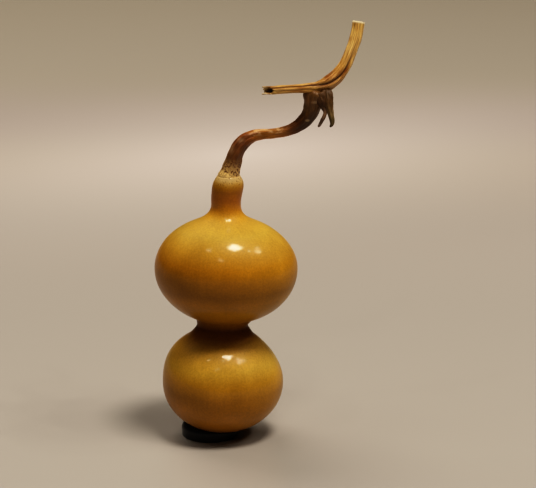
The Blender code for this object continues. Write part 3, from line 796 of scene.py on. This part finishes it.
def make_vine():
    """One skin: the snapped pipe's inside, its outside, and the cut end."""
    route = Route(VINE_ROUTE)
    rings = vine_rings(route.length)
    vine = make_stem("vine_straw", route, rings, VINE_SIDES, vine_reach, vine_slip)
    grains = vine.data.attributes["grain"].data
    tints = [vine_tints(route, vertex.co, item.vector) for vertex, item in zip(vine.data.vertices, grains)]
    painted_shades, raws = zip(*tints)
    write_shares(vine, "furrow", painted_shades)
    write_shares(vine, "raw_wood", raws)
    vine.data.materials.append(vine_finish(route.length))
    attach(vine, ROOT)
    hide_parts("vine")


make_vine()


# The leaf stalk's stub
#
# What is left of the leaf stalk beside the joint: a withered, channelled stub, broad and flat at its
# root and hooked at its tip.

STUB_ROUTE = [
    (46.8, 1.4, 142.8, 1.9), (46.8, 0.9, 141.2, 2.4), (47.0, 0.4, 139.2, 2.35), (47.4, 0.0, 137.4, 2.0),
    (47.9, -0.4, 135.6, 1.55), (48.4, -1.0, 133.4, 1.2), (48.9, -1.6, 131.3, 0.98), (48.9, -2.0, 129.7, 0.75),
    (48.1, -2.4, 128.6, 0.42),
]
STUB_COLOURS = [
    (0.0, "#5c4222"), (4.0, "#5c4020"), (7.0, "#6a502e"), (10.0, "#76623e"), (13.0, "#625232"),
    (17.0, "#3a2a16"),
]
STUB_COLOURS_END = 18.0
CHANNEL = {"at": 20, "width": 22, "depth": 0.28, "from": 3.0, "full": 7.0}
FLATTENED_UP_TO = 6.0


def flattened(turn, distance, round_from):
    """The section of a stem whose root is pressed flat from the front, and is round from a distance on."""
    depth = 1 - 0.45 * min(1.0, max(0.0, 1 - distance / round_from))
    return 1 / math.hypot(math.cos(turn) / depth, math.sin(turn))


def stub_reach(turn, distance):
    """Flattened, with a channel down its front and creases from drying."""
    aside = (math.degrees(turn) - CHANNEL["at"]) / CHANNEL["width"]
    strength = smooth_step(distance, CHANNEL["from"], CHANNEL["full"])
    channel = CHANNEL["depth"] * strength * math.exp(-(aside**2))
    creases = 0.12 * noise.noise(Vector((2 * math.cos(turn), 2 * math.sin(turn), distance * 0.5)))
    return flattened(turn, distance, FLATTENED_UP_TO) * (1 - channel + creases + 0.05 * math.cos(5 * turn))


def make_stub():
    """One closed skin from inside the vine to its hooked tip."""
    route = Route(STUB_ROUTE)
    stub = make_stem("leaf_stalk_stub_bark", route, closed_rings(route.length, 60, 0.3), 48, stub_reach)
    stub.data.materials.append(
        stem_finish("dried leaf stalk bark", STUB_COLOURS, STUB_COLOURS_END, streak=0.4, fleck="#8e785a",
                    flecks_from=0.62, roughness=0.55)
    )
    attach(stub, ROOT)
    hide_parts("leaf_stalk_stub")


make_stub()


# The tendril
#
# A climbing tendril that withered dark: a broad flat root, then a thin twisted blade that kinks back.

TENDRIL_ROUTE = [
    (43.8, 0.4, 141.9, 2.6), (44.4, 0.2, 139.9, 2.6), (45.0, -0.1, 138.0, 2.1), (45.7, -0.6, 136.1, 1.15),
    (46.2, -1.3, 134.4, 0.7), (45.8, -1.8, 132.7, 0.75), (44.8, -2.3, 130.9, 0.85), (43.9, -2.7, 129.3, 0.55),
    (43.4, -2.8, 128.7, 0.3),
]
TENDRIL_COLOURS = [
    (0.0, "#5c4020"), (4.0, "#52361a"), (7.0, "#4c3422"), (9.0, "#74583e"), (12.0, "#4c3624"),
    (14.0, "#6c5846"),
]
TENDRIL_COLOURS_END = 15.5
BLADE_FROM, BLADE_FULL = 4.0, 7.0
TWIST = 0.25


def tendril_reach(turn, distance):
    """A flat root, then a blade: its section is an oval that turns along it."""
    creases = 0.1 * noise.noise(Vector((2 * math.cos(turn), 2 * math.sin(turn), distance * 0.6)))
    blade = 0.18 * smooth_step(distance, BLADE_FROM, BLADE_FULL) * math.cos(2 * (turn - TWIST * distance))
    return flattened(turn, distance, BLADE_FULL) * (1 + blade + creases)


def make_tendril():
    """One closed skin from inside the stalk to its tip."""
    route = Route(TENDRIL_ROUTE)
    tendril = make_stem("tendril_bark", route, closed_rings(route.length, 56, 0.25), 40, tendril_reach)
    tendril.data.materials.append(
        stem_finish("dried tendril bark", TENDRIL_COLOURS, TENDRIL_COLOURS_END, streak=0.35, fleck="#8a6a48",
                    flecks_from=0.6, roughness=0.6)
    )
    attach(tendril, ROOT)
    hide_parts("tendril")


make_tendril()


# The stand
#
# A low round pad of moulded black rubber. Its rim is rounded, and its top is pressed hollow to the
# curve of the gourd, which stands off its centre.

STAND_RADIUS = 11.5
STAND_HEIGHT = 5.6
STAND_BROW = 2.4
STAND_FOOT = 0.5
STAND_UNDERSIDE_RING = 5.0
STAND_SIDES = 128
SEAT_GAP = 0.3
SHARPEST_SMOOTH = math.radians(35)
RUBBER_DUST_SIZE = 0.6
RUBBER_RELIEF = 0.1


def stand_outline():
    """(radius, height) in millimetres, from the underside's centre round the rim to the top's centre."""
    foot_at, brow_at = STAND_RADIUS - STAND_FOOT, STAND_RADIUS - STAND_BROW
    foot = [point + Vector((foot_at, 0)) for point in arc(STAND_FOOT, STAND_FOOT, STAND_FOOT, -90, 0)]
    brow = arc(STAND_BROW, STAND_BROW, STAND_HEIGHT - STAND_BROW, 0, 90)
    brow = [point + Vector((brow_at, 0)) for point in brow]
    inner = [Vector((brow_at * (1 - step / 24), STAND_HEIGHT)) for step in range(1, 25)]
    return [Vector((0, 0)), Vector((STAND_UNDERSIDE_RING, 0)), *foot[::5], *brow[::2], *inner]


def rubber_finish():
    """Moulded black rubber: nearly black, a soft sheen, and a faint dusty grain."""
    material, tree, shader = new_finish(
        "moulded black rubber", Roughness=0.42, IOR=1.52, Sheen_Weight=0.25, Sheen_Roughness=0.4
    )
    place = add(tree, "TexCoord").outputs["Object"]
    dust = add(tree, "TexNoise", {"Scale": repeats(RUBBER_DUST_SIZE), "Detail": 4.0, "Roughness": 0.7},
               {"Vector": place})
    tint = add(tree, "ValToRGB", links={"Fac": dust.outputs["Fac"]},
               stops=[(0.4, "#100d10"), (0.75, "#2a2428")])
    tree.links.new(tint.outputs[0], shader.inputs["Base Color"])
    bump = add(tree, "Bump", {"Strength": 0.25, "Distance": RUBBER_RELIEF * MM},
               {"Height": dust.outputs["Fac"]})
    tree.links.new(bump.outputs[0], shader.inputs["Normal"])
    return material


def make_stand():
    """Spins the pad's outline and presses the gourd's own curve into its top."""
    shape = bmesh.new()
    corners = [shape.verts.new((point.x * MM, 0, point.y * MM)) for point in stand_outline()]
    edges = [shape.edges.new(pair) for pair in zip(corners, corners[1:])]
    bmesh.ops.spin(shape, geom=corners + edges, axis=(0, 0, 1), cent=(0, 0, 0), angle=math.tau,
                   steps=STAND_SIDES, use_merge=True)
    across = (LOWER_BULB["radius"] + SEAT_GAP) * MM
    deep = (LOWER_BULB["down"] + SEAT_GAP) * MM
    for vertex in shape.verts:
        from_axis = Vector((vertex.co.x - middle_at(0.0) * MM, vertex.co.y)).length
        seat = LOWER_BULB["middle"] * MM - deep * math.sqrt(max(0.0, 1 - (from_axis / across) ** 2))
        if vertex.co.z > STAND_FOOT * MM:
            vertex.co.z = min(vertex.co.z, seat)
    stand = piece_from(shape, "stand_pad")
    stand.data.set_sharp_from_angle(angle=SHARPEST_SMOOTH)
    stand.data.materials.append(rubber_finish())
    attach(stand, ROOT)
    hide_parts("stand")


make_stand()


# The floor and the light
#
# A satin warm-grey sheet with painted light on it, a lighter band and a painted pool of a far lamp's
# light, under one main lamp high on the right of the front, a cluster of small lamps further right, a soft
# ceiling, and a little light from the left.

FLOOR_RADIUS = 3.2
# (Y in metres, colour): the sheet's grey with a band of painted light. Then the middle, half sizes and turn
# of a painted pool of a far lamp's light.
FLOOR_COLOURS_AND_PAINTED_LIGHT = [(-0.2, "#aba7a1"), (0.15, "#aba7a1"), (0.32, "#afaaa4"), (0.5, "#b5aea6"),
                 (0.62, "#b2aba5"), (0.8, "#b0aa9f"), (1.2, "#b2ab9e")]
FLOOR_FROM, FLOOR_TO = -0.2, 1.2
POOL_AT = (0.01, 0.52, 0.0)
POOL_SIZE = (0.39, 0.26, 1.0)
POOL_TURN = math.radians(33)
PAINTED_POOL_LIFT = (1.5, 1.5, 1.58, 1.0)


def make_floor():
    """A round flat sheet: a soft shine, painted light that changes gently backwards, and a painted pool of
    light.
    """
    shape = bmesh.new()
    bmesh.ops.create_circle(shape, cap_ends=True, segments=96, radius=FLOOR_RADIUS)
    floor = piece_from(shape, "floor")
    material, tree, shader = new_finish("satin warm grey sheet", Roughness=0.34, IOR=1.45)
    place = add(tree, "TexCoord").outputs["Object"]
    depth = add(tree, "SeparateXYZ", links={0: place}).outputs["Y"]
    share = add(tree, "MapRange", {"From Min": FLOOR_FROM, "From Max": FLOOR_TO}, {"Value": depth})
    stops = [((y - FLOOR_FROM) / (FLOOR_TO - FLOOR_FROM), colour) for y, colour in FLOOR_COLOURS_AND_PAINTED_LIGHT]
    ramp = add(tree, "ValToRGB", links={"Fac": share.outputs[0]}, stops=stops)
    ramp.color_ramp.interpolation = "EASE"
    pool_map = add(tree, "Mapping", {"vector_type": "TEXTURE", "Location": POOL_AT, "Scale": POOL_SIZE,
                                     "Rotation": (0.0, 0.0, POOL_TURN)}, {"Vector": place})
    pool = add(tree, "TexGradient", {"gradient_type": "QUADRATIC_SPHERE"}, {"Vector": pool_map.outputs[0]})
    painted_pool_light = add(tree, "Mix", {**MULTIPLY_RGB, COLOUR_B: PAINTED_POOL_LIFT},
              {FACTOR: pool.outputs["Fac"], COLOUR_A: ramp.outputs[0]})
    tree.links.new(painted_pool_light.outputs[COLOUR_OUT], shader.inputs["Base Color"])
    floor.data.materials.append(material)


LAMPS_AIM = Vector((6, 0, 60)) * MM
LAMP_DISTANCE = 2.2
LAMP_COLOUR = "#fff4e6"
# The ways from the part to the small lamps on its right.
RIGHT_LAMPS = [(0.61, -0.02, 0.79), (0.5, -0.25, 0.83), (0.62, -0.19, 0.76), (0.67, -0.15, 0.73),
               (0.58, -0.33, 0.75)]
ROOM_COLOUR, ROOM_STRENGTH = "#c8b8a4", 0.03


def make_lamp(name, toward, width, height, power, in_gloss=True):
    """An oval lamp that faces the part from a direction: its size is in metres and its power in watts."""
    data = bpy.data.lights.new(name, "AREA")
    data.shape = "ELLIPSE"
    data.size = width
    data.size_y = height
    data.energy = power
    data.color = linear(LAMP_COLOUR)[:3]
    lamp = bpy.data.objects.new(name, data)
    bpy.context.scene.collection.objects.link(lamp)
    way = Vector(toward).normalized()
    lamp.location = LAMPS_AIM + way * LAMP_DISTANCE
    lamp.rotation_mode = "QUATERNION"
    lamp.rotation_quaternion = way.to_track_quat("Z", "Y")
    lamp.visible_glossy = in_gloss


make_floor()
make_lamp("main lamp", (0.21, -0.27, 0.94), 0.66, 0.56, 36.0)
for number, toward in enumerate(RIGHT_LAMPS, 1):
    make_lamp(f"right lamp {number}", toward, 0.055, 0.055, 2.0)
make_lamp("left lamp", (-0.31, -0.35, 0.88), 0.1, 0.1, 1.4)
make_lamp("front lamp", (-0.097, -0.72, 0.69), 0.1, 0.1, 1.6)
# The wide soft ones would show as large pale patches in the wax, so they are left out of the gloss.
make_lamp("left wall", (-0.62, -0.1, 0.78), 1.1, 1.1, 3.5, in_gloss=False)
make_lamp("ceiling", (-0.3, 0.5, 0.8), 1.8, 1.4, 26.5, in_gloss=False)

world = bpy.data.worlds.new("dim room")
world.use_nodes = True
background = world.node_tree.nodes["Background"]
background.inputs["Color"].default_value = linear(ROOM_COLOUR)
background.inputs["Strength"].default_value = ROOM_STRENGTH
bpy.context.scene.world = world

# The picture's contrast, with deep shadows as in a photograph: (the scene's light, the picture's light).
# BRIGHTEST is the light that the picture shows as white.
BRIGHTEST = 1.6
TONES = [(0.02, 0.0062), (0.06, 0.0285), (0.12, 0.076), (0.2, 0.158), (0.32, 0.3), (0.5, 0.52), (0.7, 0.72),
         (0.9, 0.86), (1.2, 0.97)]

view = bpy.context.scene.view_settings
view.view_transform = "Standard"
view.use_curve_mapping = True
view.curve_mapping.white_level = (BRIGHTEST,) * 3
for light, shown in TONES:
    view.curve_mapping.curves[3].points.new(light / BRIGHTEST, shown)
view.curve_mapping.update()


# The camera
#
# It looks down at 15 degrees from the front, 0.9 m from a point above and right of the gourd's middle.

CAMERA_TARGET = Vector((23.7, 0.0, 80.3)) * MM
CAMERA_DISTANCE = 0.9
CAMERA_ELEVATION = math.radians(15)
CAMERA_LENS, SENSOR_WIDTH = 151.1, 36.0

lens = bpy.data.cameras.new("camera")
lens.lens = CAMERA_LENS
lens.sensor_width = SENSOR_WIDTH
camera = bpy.data.objects.new("camera", lens)
bpy.context.scene.collection.objects.link(camera)
backwards = Vector((0, -math.cos(CAMERA_ELEVATION), math.sin(CAMERA_ELEVATION)))
camera.location = CAMERA_TARGET + backwards * CAMERA_DISTANCE
camera.rotation_mode = "QUATERNION"
camera.rotation_quaternion = backwards.to_track_quat("Z", "Y")
bpy.context.scene.camera = camera
